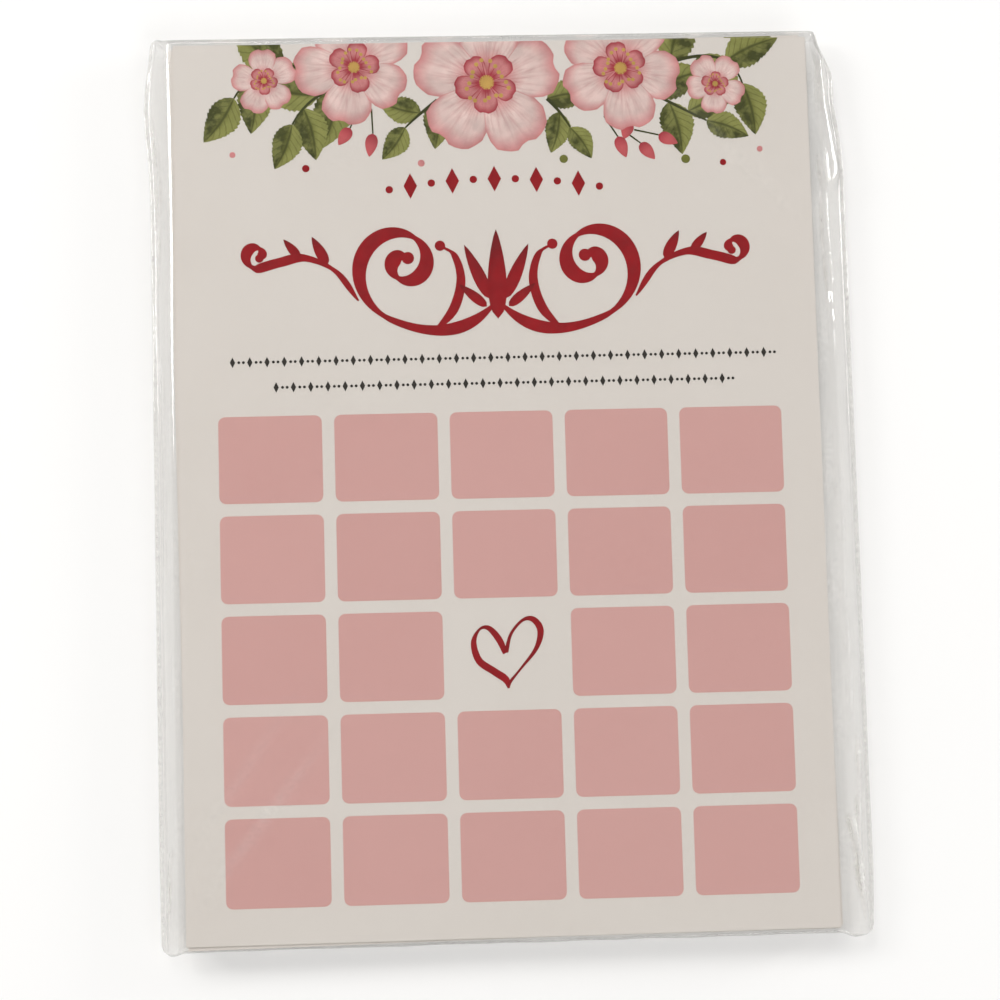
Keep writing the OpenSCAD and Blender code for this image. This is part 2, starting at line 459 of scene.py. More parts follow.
def new_tree(name, inputs):
    """A tree with these inputs: label, socket kind and starting value."""
    tree = bpy.data.node_groups.new(name, "GeometryNodeTree")
    tree.interface.new_socket("Geometry", in_out="INPUT", socket_type="NodeSocketGeometry")
    for label, kind, value in inputs:
        entry = tree.interface.new_socket(label, in_out="INPUT", socket_type="NodeSocket" + kind)
        if value is not None:
            entry.default_value = value
    tree.interface.new_socket("Geometry", in_out="OUTPUT", socket_type="NodeSocketGeometry")
    return tree, tree.nodes.new("NodeGroupInput").outputs


def end_tree(tree, instances, material):
    """Realizes the instances and gives them their material, as every tree here ends."""
    real = put(tree, "GeometryNodeRealizeInstances", {"Geometry": instances})
    dressed = put(tree, "GeometryNodeSetMaterial", {"Geometry": real.outputs[0], "Material": material})
    end = tree.nodes.new("NodeGroupOutput")
    tree.links.new(dressed.outputs[0], end.inputs[0])


def random_value(tree, low, high, seed):
    node = put(tree, "FunctionNodeRandomValue", {"Min": low, "Max": high, "Seed": seed})
    return socket(node.outputs, "Value")


def shaded(tree, instances, low, high, seed):
    """Keeps a random shade with each instance."""
    values = {"Geometry": instances, "Name": "shade", "Value": random_value(tree, low, high, seed)}
    kind = {"data_type": "FLOAT", "domain": "INSTANCE"}
    return put(tree, "GeometryNodeStoreNamedAttribute", values, **kind).outputs[0]


def grown(name, tree, values):
    """The plain mesh that a tree makes with these values for its named inputs, as an object."""
    piece = object_of(name, bpy.data.meshes.new(name))
    grow = piece.modifiers.new("grow", "NODES")
    grow.node_group = tree
    for item in tree.interface.items_tree:
        if item.in_out == "INPUT" and item.name in values:
            grow[item.identifier] = values[item.name]
    return settled(piece)


def square_grid_tree():
    """Rounded squares in rows and columns, with the middle place left free."""
    tree, given = new_tree("square_grid", [
        ("Count", "Int", GRID_N), ("Column Step", "Float", 1.0), ("Row Step", "Float", 1.0),
        ("Width", "Float", 1.0), ("Height", "Float", 1.0), ("Corner Radius", "Float", 0.1),
        ("Corner Steps", "Int", CORNER_STEPS), ("Seed", "Int", 1), ("Material", "Material", None),
    ])
    gaps = maths(tree, "SUBTRACT", given["Count"], 1.0)
    spread = {"Vertices X": given["Count"], "Vertices Y": given["Count"]}
    spread["Size X"] = maths(tree, "MULTIPLY", given["Column Step"], gaps)
    spread["Size Y"] = maths(tree, "MULTIPLY", given["Row Step"], gaps)
    places = put(tree, "GeometryNodeMeshGrid", spread).outputs["Mesh"]
    last = maths(tree, "SUBTRACT", maths(tree, "MULTIPLY", given["Count"], given["Count"]), 1.0)
    index = put(tree, "GeometryNodeInputIndex").outputs[0]
    middle = maths(tree, "COMPARE", index, maths(tree, "MULTIPLY", last, 0.5), 0.1)
    kept = put(tree, "GeometryNodeDeleteGeometry", {"Geometry": places, "Selection": middle}).outputs[0]
    sides = {"Width": given["Width"], "Height": given["Height"]}
    outline = put(tree, "GeometryNodeCurvePrimitiveQuadrilateral", sides, mode="RECTANGLE").outputs[0]
    corner = {"Curve": outline, "Count": given["Corner Steps"], "Radius": given["Corner Radius"]}
    rounded = put(tree, "GeometryNodeFilletCurve", corner, mode="POLY").outputs[0]
    square = put(tree, "GeometryNodeFillCurve", {"Curve": rounded}, mode="NGONS").outputs[0]
    squares = put(tree, "GeometryNodeInstanceOnPoints", {"Points": kept, "Instance": square}).outputs[0]
    end_tree(tree, shaded(tree, squares, -0.15, 0.25, given["Seed"]), given["Material"])
    return tree


def blossom_tree():
    """Petals round a hub, each a little turned, sized and raised from the one before it."""
    tree, given = new_tree("blossom", [
        ("Petal", "Object", None), ("Petals", "Int", 5), ("Hub Radius", "Float", 0.001),
        ("Size", "Float", 1.0), ("Turn", "Float", 0.0), ("Turn Jitter", "Float", 0.1),
        ("Size Jitter", "Float", 0.08), ("Petal Rise", "Float", 0.0), ("Seed", "Int", 1),
        ("Material", "Material", None),
    ])
    hub = {"Vertices": given["Petals"], "Radius": given["Hub Radius"]}
    ring = put(tree, "GeometryNodeMeshCircle", hub, fill_type="NONE").outputs[0]
    index = put(tree, "GeometryNodeInputIndex").outputs[0]
    lift = put(tree, "ShaderNodeCombineXYZ", {"Z": maths(tree, "MULTIPLY", index, given["Petal Rise"])})
    raised = put(tree, "GeometryNodeSetPosition", {"Geometry": ring, "Offset": lift.outputs[0]}).outputs[0]
    step = maths(tree, "DIVIDE", 2 * math.pi, given["Petals"])
    loose = random_value(tree, -1.0, 1.0, given["Seed"])
    angle = maths(tree, "MULTIPLY_ADD", index, step, maths(tree, "MULTIPLY", loose, given["Turn Jitter"]))
    facing = put(tree, "ShaderNodeCombineXYZ", {"Z": angle}).outputs[0]
    other_seed = maths(tree, "ADD", given["Seed"], 7.0)
    uneven = maths(tree, "MULTIPLY", random_value(tree, -1.0, 1.0, other_seed), given["Size Jitter"])
    size = maths(tree, "MULTIPLY", given["Size"], maths(tree, "ADD", uneven, 1.0))
    petal = put(tree, "GeometryNodeObjectInfo", {"Object": given["Petal"]}).outputs["Geometry"]
    values = {"Points": raised, "Instance": petal, "Rotation": facing}
    values["Scale"] = put(tree, "ShaderNodeCombineXYZ", {"X": size, "Y": size, "Z": 1.0}).outputs[0]
    petals = put(tree, "GeometryNodeInstanceOnPoints", values).outputs[0]
    turned = put(tree, "ShaderNodeCombineXYZ", {"Z": given["Turn"]}).outputs[0]
    whole = put(tree, "GeometryNodeTransform", {"Geometry": petals, "Rotation": turned}).outputs[0]
    end_tree(tree, whole, given["Material"])
    return tree


def spray_tree():
    """Leaves on alternate sides of a bent stem, smaller towards its tip."""
    tree, given = new_tree("spray", [
        ("Leaf", "Object", None), ("Start", "Vector", None), ("Bend", "Vector", None),
        ("Tip", "Vector", None), ("Leaves", "Int", 6), ("Leaf Size", "Float", 1.0),
        ("Tip Share", "Float", 0.6), ("Lean", "Float", 0.8), ("Rise", "Float", 0.0),
        ("Seed", "Int", 1), ("Material", "Material", None),
    ])
    bend = {"Start": given["Start"], "Middle": given["Bend"], "End": given["Tip"], "Resolution": 24}
    stem = put(tree, "GeometryNodeCurveQuadraticBezier", bend).outputs[0]
    dots = put(tree, "GeometryNodeCurveToPoints", {"Curve": stem, "Count": given["Leaves"]}, mode="COUNT")
    run = put(tree, "ShaderNodeSeparateXYZ", {"Vector": dots.outputs["Tangent"]})
    heading = maths(tree, "ARCTAN2", run.outputs["Y"], run.outputs["X"])
    index = put(tree, "GeometryNodeInputIndex").outputs[0]
    odd = maths(tree, "MODULO", index, 2.0)
    side = maths(tree, "MULTIPLY_ADD", odd, -2.0, 1.0)
    last = maths(tree, "SUBTRACT", given["Leaves"], 1.0)
    at_tip = maths(tree, "COMPARE", index, last, 0.1)
    lean = maths(tree, "MULTIPLY", given["Lean"], maths(tree, "SUBTRACT", 1.0, at_tip))
    loose = random_value(tree, -0.16, 0.16, given["Seed"])
    angle = maths(tree, "ADD", maths(tree, "MULTIPLY_ADD", side, lean, heading), loose)
    share = maths(tree, "DIVIDE", index, last)
    loss = maths(tree, "SUBTRACT", 1.0, given["Tip Share"])
    taper = maths(tree, "SUBTRACT", 1.0, maths(tree, "MULTIPLY", share, loss))
    size = maths(tree, "MULTIPLY", given["Leaf Size"], taper)
    lift = put(tree, "ShaderNodeCombineXYZ", {"Z": maths(tree, "MULTIPLY", index, given["Rise"])})
    places = {"Geometry": dots.outputs["Points"], "Offset": lift.outputs[0]}
    raised = put(tree, "GeometryNodeSetPosition", places)
    leaf = put(tree, "GeometryNodeObjectInfo", {"Object": given["Leaf"]}).outputs["Geometry"]
    values = {"Points": raised.outputs[0], "Instance": leaf}
    values["Rotation"] = put(tree, "ShaderNodeCombineXYZ", {"Z": angle}).outputs[0]
    values["Scale"] = put(tree, "ShaderNodeCombineXYZ", {"X": size, "Y": size, "Z": 1.0}).outputs[0]
    end_tree(tree, put(tree, "GeometryNodeInstanceOnPoints", values).outputs[0], given["Material"])
    return tree


def mark_row_tree():
    """The same small mark over and over along a straight row, centred on its middle."""
    tree, given = new_tree("mark_row", [
        ("Mark", "Object", None), ("Middle", "Vector", None), ("Length", "Float", 0.1),
        ("Step", "Float", 0.002), ("Material", "Material", None),
    ])
    count = maths(tree, "FLOOR", maths(tree, "DIVIDE", given["Length"], given["Step"]))
    half = maths(tree, "MULTIPLY", maths(tree, "MULTIPLY", count, given["Step"]), -0.5)
    back = put(tree, "ShaderNodeCombineXYZ", {"X": half}).outputs[0]
    start = put(tree, "ShaderNodeVectorMath", operation="ADD")
    tree.links.new(given["Middle"], start.inputs[0])
    tree.links.new(back, start.inputs[1])
    step = put(tree, "ShaderNodeCombineXYZ", {"X": given["Step"]}).outputs[0]
    line = {"Count": maths(tree, "ADD", count, 1.0), "Start Location": start.outputs[0], "Offset": step}
    places = put(tree, "GeometryNodeMeshLine", line, mode="OFFSET").outputs[0]
    mark = put(tree, "GeometryNodeObjectInfo", {"Object": given["Mark"]}).outputs["Geometry"]
    marks = put(tree, "GeometryNodeInstanceOnPoints", {"Points": places, "Instance": mark}).outputs[0]
    end_tree(tree, marks, given["Material"])
    return tree


# The print. Tables of places are in millimetres from the middle of a card

# Blossoms: x, y, radius, turn in degrees, level and seed
BLOSSOMS = [
    (-1.0, 80.5, 15.0, 12, FRONT_LEVEL, 3), (-27.5, 84.0, 12.0, 40, BACK_LEVEL, 5),
    (26.0, 83.0, 13.0, -8, BACK_LEVEL, 8), (-45.5, 81.5, 6.8, 25, BACK_LEVEL, 13),
    (45.0, 79.5, 6.4, 50, BACK_LEVEL, 21),
]
PETALS = 5
INNER_SHARE = 0.42
STAMENS = 18

# Stems: start, bend, tip, how many leaves, their length, the last one's share of it, and seed
STEMS = [
    ((-36, 84), (-47, 86), (-51.5, 78.0), 4, 13.5, 0.8, 2),
    ((-31, 80), (-37, 78), (-40.0, 72.5), 4, 13.0, 0.75, 3),
    ((36, 84), (48, 88), (50.5, 79.5), 4, 13.5, 0.8, 4),
    ((32, 78), (37, 75), (43.0, 72.0), 4, 12.0, 0.75, 6),
    ((-11, 77), (-15, 74), (-17.5, 71.5), 3, 10.0, 0.8, 9),
    ((11, 77), (14, 74), (15.5, 71.0), 3, 9.5, 0.8, 11),
]
LEAF_LEAN = 0.85
LEAF_ACROSS = (-1, -0.33, 0, 0.33, 1)

# Buds: x, y, heading in degrees and length. Each has a stalk that leans a little
BUDS = [
    (25.0, 69.0, -70, 4.6), (29.5, 67.6, -50, 4.4), (33.2, 69.2, -25, 4.2),
    (27.5, 72.0, -110, 3.8), (-24.0, 70.4, -100, 4.8), (-28.5, 71.6, -125, 4.2),
]
BUD_W = 2.5
STALK_L = 5.0
STALK_LEAN = 12

# Loose dots below the garland: x, y, radius and tint
LOOSE_DOTS = [
    (-37.5, 63.5, 0.75, RED), (-52.0, 66.5, 0.6, PINK), (14.0, 64.6, 0.85, OLIVE), (-14.5, 64.2, 0.7, PINK),
    (38.5, 64.2, 0.9, OLIVE), (46.0, 63.4, 0.65, RED), (53.5, 66.0, 0.6, PINK),
]

# The row of lozenges and dots over the ornament, which bows by ROW_SAG for each step squared
ROW_Y = 60.8
ROW_GAP = 8.4
ROW_SAG = 0.3

# The two fine rows over the squares: y and length
FINE_ROWS = [(24.7, 106.0), (19.6, 91.0)]
FINE_STEP = 3.4


def blend_tints(share, *tints):
    """Tints spaced evenly from share 0 to share 1."""
    places = np.linspace(0, 1, len(tints))
    return np.stack([np.interp(share, places, [t[k] for t in tints]) for k in range(4)], -1)


def motif(name, along, across, x, y, shade):
    """A petal or a leaf from a grid of points, which keep their place from base to tip and edge to edge."""
    points = np.stack([x, y, 0 * y], -1).reshape(-1, 3)
    grains = np.stack(np.broadcast_arrays(along, (across + 1) / 2), -1).reshape(-1, 2)
    faces = [face[::-1] for face in grid_faces(*y.shape)]
    return object_of(name, mesh_of(name, points, faces, shade, grains))


def petal_motif(name, half_angle, notch, tints, rings=5, rays=17, shadow=0.10):
    """A petal 1 mm long that points along +X, as rays from its base."""
    along = np.linspace(0.05, 1, rings)[:, None]
    across = np.linspace(-1, 1, rays)
    edge = np.cos(across * math.pi / 2 * 0.98) ** 0.33 * (1 - notch * np.exp(-((across / 0.2) ** 2)))
    edge *= 1 + 0.02 * np.sin(across * 9 + 1) + 0.015 * np.sin(across * 17)
    angle = np.radians(half_angle) * across
    shade = blend_tints((along + 0 * across).ravel(), *tints)
    lit = 1 - shadow * np.clip(across, 0, 1) ** 2 + 0 * along
    shade[:, :3] *= lit.ravel()[:, None]
    return motif(name, along, across, along * edge * np.cos(angle), along * edge * np.sin(angle), shade)


def leaf_motif(name, half_width, teeth, tints, rows=49, tooth_share=0.13, bend_share=0.05, contrast=0.38):
    """A leaf 1 mm long that points along +X, with a toothed edge and a lighter half."""
    along = np.linspace(0, 1, rows)[:, None]
    across = np.array(LEAF_ACROSS)
    swell = np.sin(math.pi * along ** 0.82) ** 0.85 * (1 - 0.25 * along)
    tooth = 1 - tooth_share * ((along * teeth) % 1) * (np.abs(across) == 1)
    y = half_width * swell * across * tooth + bend_share * np.sin(math.pi * along)
    side = 0.5 + contrast * np.sign(across) - 0.1 * along
    shade = blend_tints(np.clip(side, 0, 1).ravel(), *tints)
    return motif(name, along, across, along + 0 * across, y, shade)


def drop_shape(x, y, heading, length, width, level, tints, steps=14, shadow=0.86):
    """A drop that points along heading, in degrees, with one darker edge."""
    t = np.linspace(0, 1, steps)
    run = np.array([math.cos(math.radians(heading)), math.sin(math.radians(heading))])
    line = np.array([x, y]) + np.outer(t * length, run)
    girth = width * np.sin(math.pi * t ** 0.7) ** 0.75
    points, faces, _, grains = stroke(np.c_[line, girth], level, tints[0], tints[1], width)
    shade = np.tile(blend_tints(t, *tints), (3, 1))
    shade[2 * steps:, :3] *= shadow
    return points, faces, shade, grains


def heart_strokes():
    """A heart drawn with two strokes of a brush, in the free middle square: x, y and width of each."""
    left = [
        (-0.45, 0.1, 1.0), (-1.7, 2.95, 1.3), (-3.6, 5.1, 1.0), (-5.4, 4.9, 0.5), (-6.6, 2.35, 1.1),
        (-5.65, -1.2, 1.4), (-2.75, -3.4, 1.45), (-0.55, -5.0, 1.4), (0.05, -6.75, 0.45),
    ]
    right = [
        (-0.3, 0.3, 0.85), (0.75, 3.85, 0.6), (3.1, 6.5, 0.6), (5.2, 6.6, 1.15), (6.55, 4.4, 1.3),
        (5.6, 0.9, 0.85), (2.5, -2.95, 0.45), (0.5, -5.3, 0.6), (0.05, -6.2, 0.6),
    ]
    lines = [through(points) + (0, GRID_MIDDLE, 0) for points in (left, right)]
    levels = (INK_LEVEL, INK_LEVEL + 3 * INK_STEP)
    return [stroke(line, level, RED_DEEP, RED, 1.2) for line, level in zip(lines, levels)]


def lozenge(x, y, width, height, level, tint):
    """An upright lozenge."""
    corners = np.array([(-width, 0), (0, -height), (width, 0), (0, height)]) / 2 + (x, y)
    points = np.c_[corners, np.full(4, level)]
    return points, np.array([[0, 1, 2, 3]]), np.tile(tint, (4, 1)), np.full((4, 2), 0.5)


def scroll_strokes():
    """A symmetrical pen ornament of scrolls and leaves, between the garland and the fine rows."""
    over = INK_LEVEL + 3 * INK_STEP
    spiral = scroll((18.5, 43.8), 11.4, 1.5, -75, 560, 90)
    main = np.vstack([bowed((1.2, 35.0), (9.0, 27.0), spiral[0], 24)[:-1], spiral])
    swash = through([(27.6, 36.6), (32.0, 42.6), (38.0, 45.4), (43.0, 44.6), (47.4, 43.4)])
    swash = np.vstack([swash[:-1], scroll((47.6, 46.2), 2.8, 0.9, -88, 320, 40)])
    hook = through([(12.6, 30.2), (8.8, 34.6), (7.2, 40.4), (8.4, 45.4), (11.2, 47.4)])
    right = [stroke(nib(main, 3.1, 0.9), over, RED, RED, 1.0)]
    right.append(stroke(nib(swash, 2.3, 0.8), INK_LEVEL, RED, RED, 1.0))
    right.append(stroke(nib(hook, 2.0, 0.7, 0.3), INK_LEVEL + 1.5 * INK_STEP, RED, RED, 1.0))
    for line, radius in ((main, 1.25), (swash, 0.85), (hook, 1.05)):
        right.append(spot(*line[-1], radius, over + 2 * INK_STEP, RED))
    leaves = [
        (33.6, 44.0, 62, 6.4, 2.2), (39.0, 45.4, 50, 5.0, 1.8),
        (1.5, 36.5, 66, 12.0, 2.6), (2.2, 35.0, 40, 7.0, 2.0),
    ]
    for leaf in leaves:
        right.append(drop_shape(*leaf, over + INK_STEP, (RED, RED, RED_DEEP)))
    shapes = right + [mirrored(shape) for shape in right]
    shapes.append(drop_shape(0, 32.5, 90, 18.0, 3.8, over + 2 * INK_STEP, (RED, RED, RED_DEEP)))
    return shapes


def lozenge_row():
    """A bowed row of lozenges with dots between them, over the ornament."""
    shapes = [lozenge(ROW_GAP * k, ROW_Y - ROW_SAG * k * k, 2.7, 5.2, INK_LEVEL, RED) for k in range(-2, 3)]
    for k in range(-3, 3):
        shapes.append(spot(ROW_GAP * (k + 0.5), ROW_Y - ROW_SAG * (k + 0.5) ** 2, 0.75, INK_LEVEL, RED))
    return shapes


def clip_to_card(piece):
    """Cuts the print off at the card's edges, where it runs past them."""
    sheet = bmesh.new()
    sheet.from_mesh(piece.data)
    for x, y in ((1, 0), (-1, 0), (0, 1), (0, -1)):
        edge = Vector((x * (CARD_W / 2 - COVER), y * (CARD_L / 2 - COVER), 0)) * MM
        whole = sheet.verts[:] + sheet.edges[:] + sheet.faces[:]
        bmesh.ops.bisect_plane(sheet, geom=whole, plane_co=edge, plane_no=(x, y, 0), clear_outer=True)
    bmesh.ops.triangulate(sheet, faces=[face for face in sheet.faces if len(face.verts) > 4])
    for face in sheet.faces:
        if face.normal.z < 0:
            face.normal_flip()
    sheet.to_mesh(piece.data)
    sheet.free()


def moved(piece, x, y, level):
    piece.data.transform(Matrix.Translation(Vector((x, y, level)) * MM))
    return piece


def blossoms(material):
    """The blossoms' petals, as an outer and an inner ring each."""
    outer = petal_motif("outer_petal", 44, 0.12, (PINK_DEEP, PINK, PINK_PALE, PINK_PALE, PINK))
    inner = petal_motif("inner_petal", 40, 0.08, (PINK_DEEP, PINK_DEEP, PINK, PINK, PINK_DEEP))
    tree = blossom_tree()
    shared = {"Petals": PETALS, "Turn Jitter": 0.10, "Size Jitter": 0.07}
    shared.update({"Petal Rise": PETAL_STEP * MM, "Material": material})
    pieces = []
    for x, y, radius, turn, level, seed in BLOSSOMS:
        ring = {**shared, "Petal": outer, "Size": radius, "Hub Radius": 0.03 * radius * MM}
        ring.update({"Turn": math.radians(turn), "Seed": seed})
        pieces.append(moved(grown("outer_ring", tree, ring), x, y, level))
        ring.update({"Petal": inner, "Size": radius * INNER_SHARE, "Hub Radius": 0.02 * radius * MM})
        ring.update({"Turn": math.radians(turn + 180 / PETALS), "Seed": seed + 2})
        pieces.append(moved(grown("inner_ring", tree, ring), x, y, level + RING_STEP))
    for petal in (outer, inner):
        bpy.data.objects.remove(petal)
    return pieces


def leaf_sprays(material):
    """The leaves along each stem."""
    leaf = leaf_motif("leaf", 0.36, 12, (OLIVE_DEEP, OLIVE, OLIVE_PALE))
    tree = spray_tree()
    pieces = []
    for start, bend, tip, count, size, tip_share, seed in STEMS:
        spray = {"Leaf": leaf, "Leaves": count, "Leaf Size": size, "Tip Share": tip_share, "Lean": LEAF_LEAN}
        spray.update({"Rise": LEAF_STEP * MM, "Seed": seed, "Material": material})
        for label, (x, y) in (("Start", start), ("Bend", bend), ("Tip", tip)):
            spray[label] = (x * MM, y * MM, LEAF_LEVEL * MM)
        pieces.append(grown("spray", tree, spray))
    bpy.data.objects.remove(leaf)
    return pieces


def stem_lines():
    """The stems, thinner towards the tip."""
    shapes = []
    for start, bend, tip, *_ in STEMS:
        line = bowed(start, bend, tip, 20)
        width = np.linspace(0.75, 0.35, len(line))
        shapes.append(stroke(np.c_[line, width], STEM_LEVEL, OLIVE_DEEP, OLIVE_DEEP, 1.0))
    return shapes


def buds():
    """Buds on short stalks."""
    shapes = []
    for x, y, heading, length in BUDS:
        shapes.append(drop_shape(x, y, heading, length, BUD_W, BACK_LEVEL, (PINK_DEEP, BERRY, BERRY)))
        back = math.radians(heading + 180 + STALK_LEAN)
        root = (x + STALK_L * math.cos(back), y + STALK_L * math.sin(back), 0.35)
        shapes.append(stroke(through([root, (x, y, 0.3)]), STEM_LEVEL, OLIVE_DEEP, OLIVE_DEEP, 1.0))
    return shapes


def blossom_eyes():
    """The middle of each blossom, with stamens of uneven length round it."""
    shapes = []
    for x, y, radius, _, level, _ in BLOSSOMS:
        top = level + RING_STEP + EYE_STEP
        shapes.append(spot(x, y, radius * 0.10, top, POLLEN))
        for k in range(STAMENS):
            angle = math.radians(360 / STAMENS * k + 7 * math.sin(3.1 * k))
            way = np.array((math.cos(angle), math.sin(angle))) * radius
            start = way * 0.08 + (x, y)
            tip = way * (0.26 + 0.05 * math.sin(5.3 * k)) + (x, y)
            line = np.linspace((*start, 0.14), (*tip, 0.10), 3)
            shapes.append(stroke(line, top + STAMEN_STEP, PINK_DEEP, PINK_DEEP, 1.0))
            shapes.append(spot(*tip, 0.03 * radius, top + 2 * STAMEN_STEP, POLLEN, 8))
    return shapes


def garland():
    """Blossoms, leaf sprays, buds and loose dots along the card's top edge."""
    pieces = blossoms(tinted_ink("petal_ink", petal_veins))
    pieces += leaf_sprays(tinted_ink("leaf_ink", leaf_veins))
    dots = [spot(x, y, radius, INK_LEVEL, tint) for x, y, radius, tint in LOOSE_DOTS]
    shapes = stem_lines() + buds() + blossom_eyes() + dots
    pieces.append(shapes_object("stems", shapes, tinted_ink("stem_ink")))
    return pieces


def fine_rows(material):
    """Two rows of small lozenges and dots, over the squares."""
    shapes = [lozenge(0, 0, 1.05, 2.1, 0, GREY_INK)]
    shapes += [spot(x, 0, 0.3, 0, GREY_INK, 8) for x in (1.25, 2.15)]
    mark = shapes_object("mark", shapes, material)
    tree = mark_row_tree()
    rows = []
    for y, length in FINE_ROWS:
        row = {"Mark": mark, "Middle": (0, y * MM, INK_LEVEL * MM), "Length": length * MM}
        row.update({"Step": FINE_STEP * MM, "Material": material})
        rows.append(grown("fine_row", tree, row))
    bpy.data.objects.remove(mark)
    return rows


def card_print():
    """Everything that is printed on one card, on a plane whose height 0 is the squares' top."""
    line_ink = tinted_ink("line_ink")
    grid = {"Count": GRID_N, "Column Step": COLUMN_STEP * MM, "Row Step": ROW_STEP * MM, "Seed": 4}
    grid.update({"Width": (SQUARE_W + COVER) * MM, "Height": (SQUARE_H + COVER) * MM})
    grid.update({"Corner Radius": SQUARE_R * MM, "Corner Steps": CORNER_STEPS, "Material": square_ink()})
    squares = moved(grown("squares", square_grid_tree(), grid), 0, GRID_MIDDLE, INK_STEP)
    drawn = shapes_object("drawn", heart_strokes() + scroll_strokes() + lozenge_row(), line_ink)
    whole = joined("print", [squares, drawn, *fine_rows(line_ink), *garland()])
    clip_to_card(whole)
    return thicken(whole, INK_T, -1)


def card_place(name):
    """Where a card lies: a matrix from the print's plane to the card's inked top."""
    node = frame["nodes"][name]
    points = np.array([vertex.co for vertex in node.data.vertices])
    base = points[points[:, 2] < points[:, 2].min() + 0.001 * MM]
    ways = ((-1, -1, 0), (1, -1, 0), (1, 1, 0), (-1, 1, 0))
    corners = [base[np.argmax(base @ np.array(way))] for way in ways]
    middle = np.mean(corners, axis=0)
    run = corners[1] - corners[0]
    turn = Matrix.Rotation(math.atan2(run[1], run[0]), 4, "Z")
    return Matrix.Translation((middle[0], middle[1], points[:, 2].max())) @ turn


def dress_cards():
    stock = card_stock()
    master = card_print()
    for name in CARDS:
        node = frame["nodes"][name]
        for place in node.material_slots:
            place.material = stock
        mesh = master.data.copy()
        mesh.transform(card_place(name))
        piece = object_of(name.replace("card", "print"), mesh)
        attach(piece, name)
    bpy.data.objects.remove(master)


# The film bag

# How finely each part of the film is cut
FLAT_COLUMNS = 88
SLOPE_COLUMNS = 20
TURN_COLUMNS = 7
WELD_COLUMNS = 3
FRONT_STOPS = (28, -66)
FRONT_ROWS = (88, 72, 34)
BACK_STOPS = (-60, 50)
BACK_ROWS = (22, 32, 24)
FOOT_ROWS = 15
BAND_ROWS = 16
FLAP_ROWS = 34
FLAP_COLUMNS = 90

# Bends: how far the film turns beside a crease, the folds' length where the band and the flap join, the foot
TURN_L = 1.2
FOOT_Y = -89.5
FOOT_DEPTH = 0.5
FOOT_PUCKER = 0.12
WELD_WAVE = 0.25
BAND_BELLY = 0.22
BAND_PUCKER = 0.14
FLAP_SLANT = 4.0
FLAP_CORNER = 2.0

# The seams' ends: the radius of their corners, how far they hook out, and from where.
# A ramp is the place beside the crease at which a hook begins, and its run. A narrow seam keeps its corner.
MOUTH_R = 1.3
MOUTH_HOOK = {-1: 1.1, 1: 0.8}
MOUTH_RAMP = (0.2, 2.0)
MOUTH_RUN = 14.0
FOOT_R = 1.9
FOOT_HOOK = {-1: 0.95, 1: 1.0}
FOOT_RAMP = (-1.3, 3.0)
FOOT_RUN = 13.0
END_Y = 76.0
NARROW_SEAM = 1.5

# The knee where the right side turns down. At each distance below the mouth it lies at a share of the reach.
# The film tilts by KNEE_TILT degrees up to it, and it keeps KNEE_LEAST of its height towards the foot.
KNEE_BELOW = (8.0, 29.0, 33.0, 58.0, 90.0)
KNEE_SHARES = (0.5, 0.95, 0.28, 0.47, 0.6)
KNEE_TILT = 20.0
KNEE_ROUND = 0.3
KNEE_LEAST = 0.3

# The sloping sides' belly, its slow waves and its small wrinkles: heights and lengths
BELLY_H = 0.18
WAVE_H = 0.08
WAVE_L = (9.0, 23.0)
WRINKLE_H = 0.012
WRINKLE_L = 3.9

# What is only in one stretch of a side. A span is y from and to, and the runs in which it rises and fades
PINCH_W = 0.35
PINCH_SPAN = (10, 86, 40, 12)
RIPPLE_H = 0.06
RIPPLE_SPAN = (26, 70, 8, 6)
CRINKLE_H = 0.10
CRINKLE_SPAN = (74, 88, 4, 3)

# Folds that run down the sloping sides: side, share of the slope at the start and end, y at start and end,
# height, width and how white the fold is
FOLDS = [
    (-1, 0.80, 0.95, 78, 52, 0.30, 0.35, 0.5), (-1, 0.62, 0.80, 72, 40, 0.22, 0.3, 0.35),
    (-1, 0.55, 0.60, 30, -20, 0.12, 0.4, 0.1), (-1, 0.40, 0.85, -70, -88, 0.35, 0.4, 0.5),
    (1, 0.22, 0.40, 68, 36, 0.26, 0.35, 0.35), (1, 0.10, 0.12, 62, 30, 0.24, 0.25, 0.25),
    (1, 0.35, 0.45, 10, -60, 0.14, 0.5, 0.1), (1, 0.25, 0.90, -66, -88, 0.45, 0.5, 0.6),
    (1, 0.75, 0.55, -50, -84, 0.3, 0.5, 0.4),
]
FOLD_FADE = 0.15
REAR_FOLD_SHARE = 0.5

# Slack lines in the film over the cards: x and y of their middle, lean and height
SLACK_LINES = [(-50, -66, 1.25, 0.10), (-56, -60, 1.4, 0.07), (50, 62, -1.1, 0.06)]
SLACK_W = 1.8
SLACK_REACH = 18.0
FACE_SWELL = (0.03, 0.02)
EDGE_RUN = 6

# How white the film is where it isn't folded
FACE_HAZE = 0.006
SLACK_HAZE = 0.7
SLOPE_HAZE = 0.01
CRINKLE_HAZE = 0.22
TURN_HAZE = 0.05
WELD_HAZE = 0.12
EDGE_HAZE = 0.04


def ease(share):
    return np.sin(np.clip(share, 0, 1) * math.pi / 2)


def smooth(share):
    t = np.clip(share, 0, 1)
    return t * t * (3 - 2 * t)


def between(value, low, high, rise, fall):
    """1 between low and high, with a smooth rise from low and a smooth fall to high."""
    return smooth((value - low) / rise) * smooth((high - value) / fall)


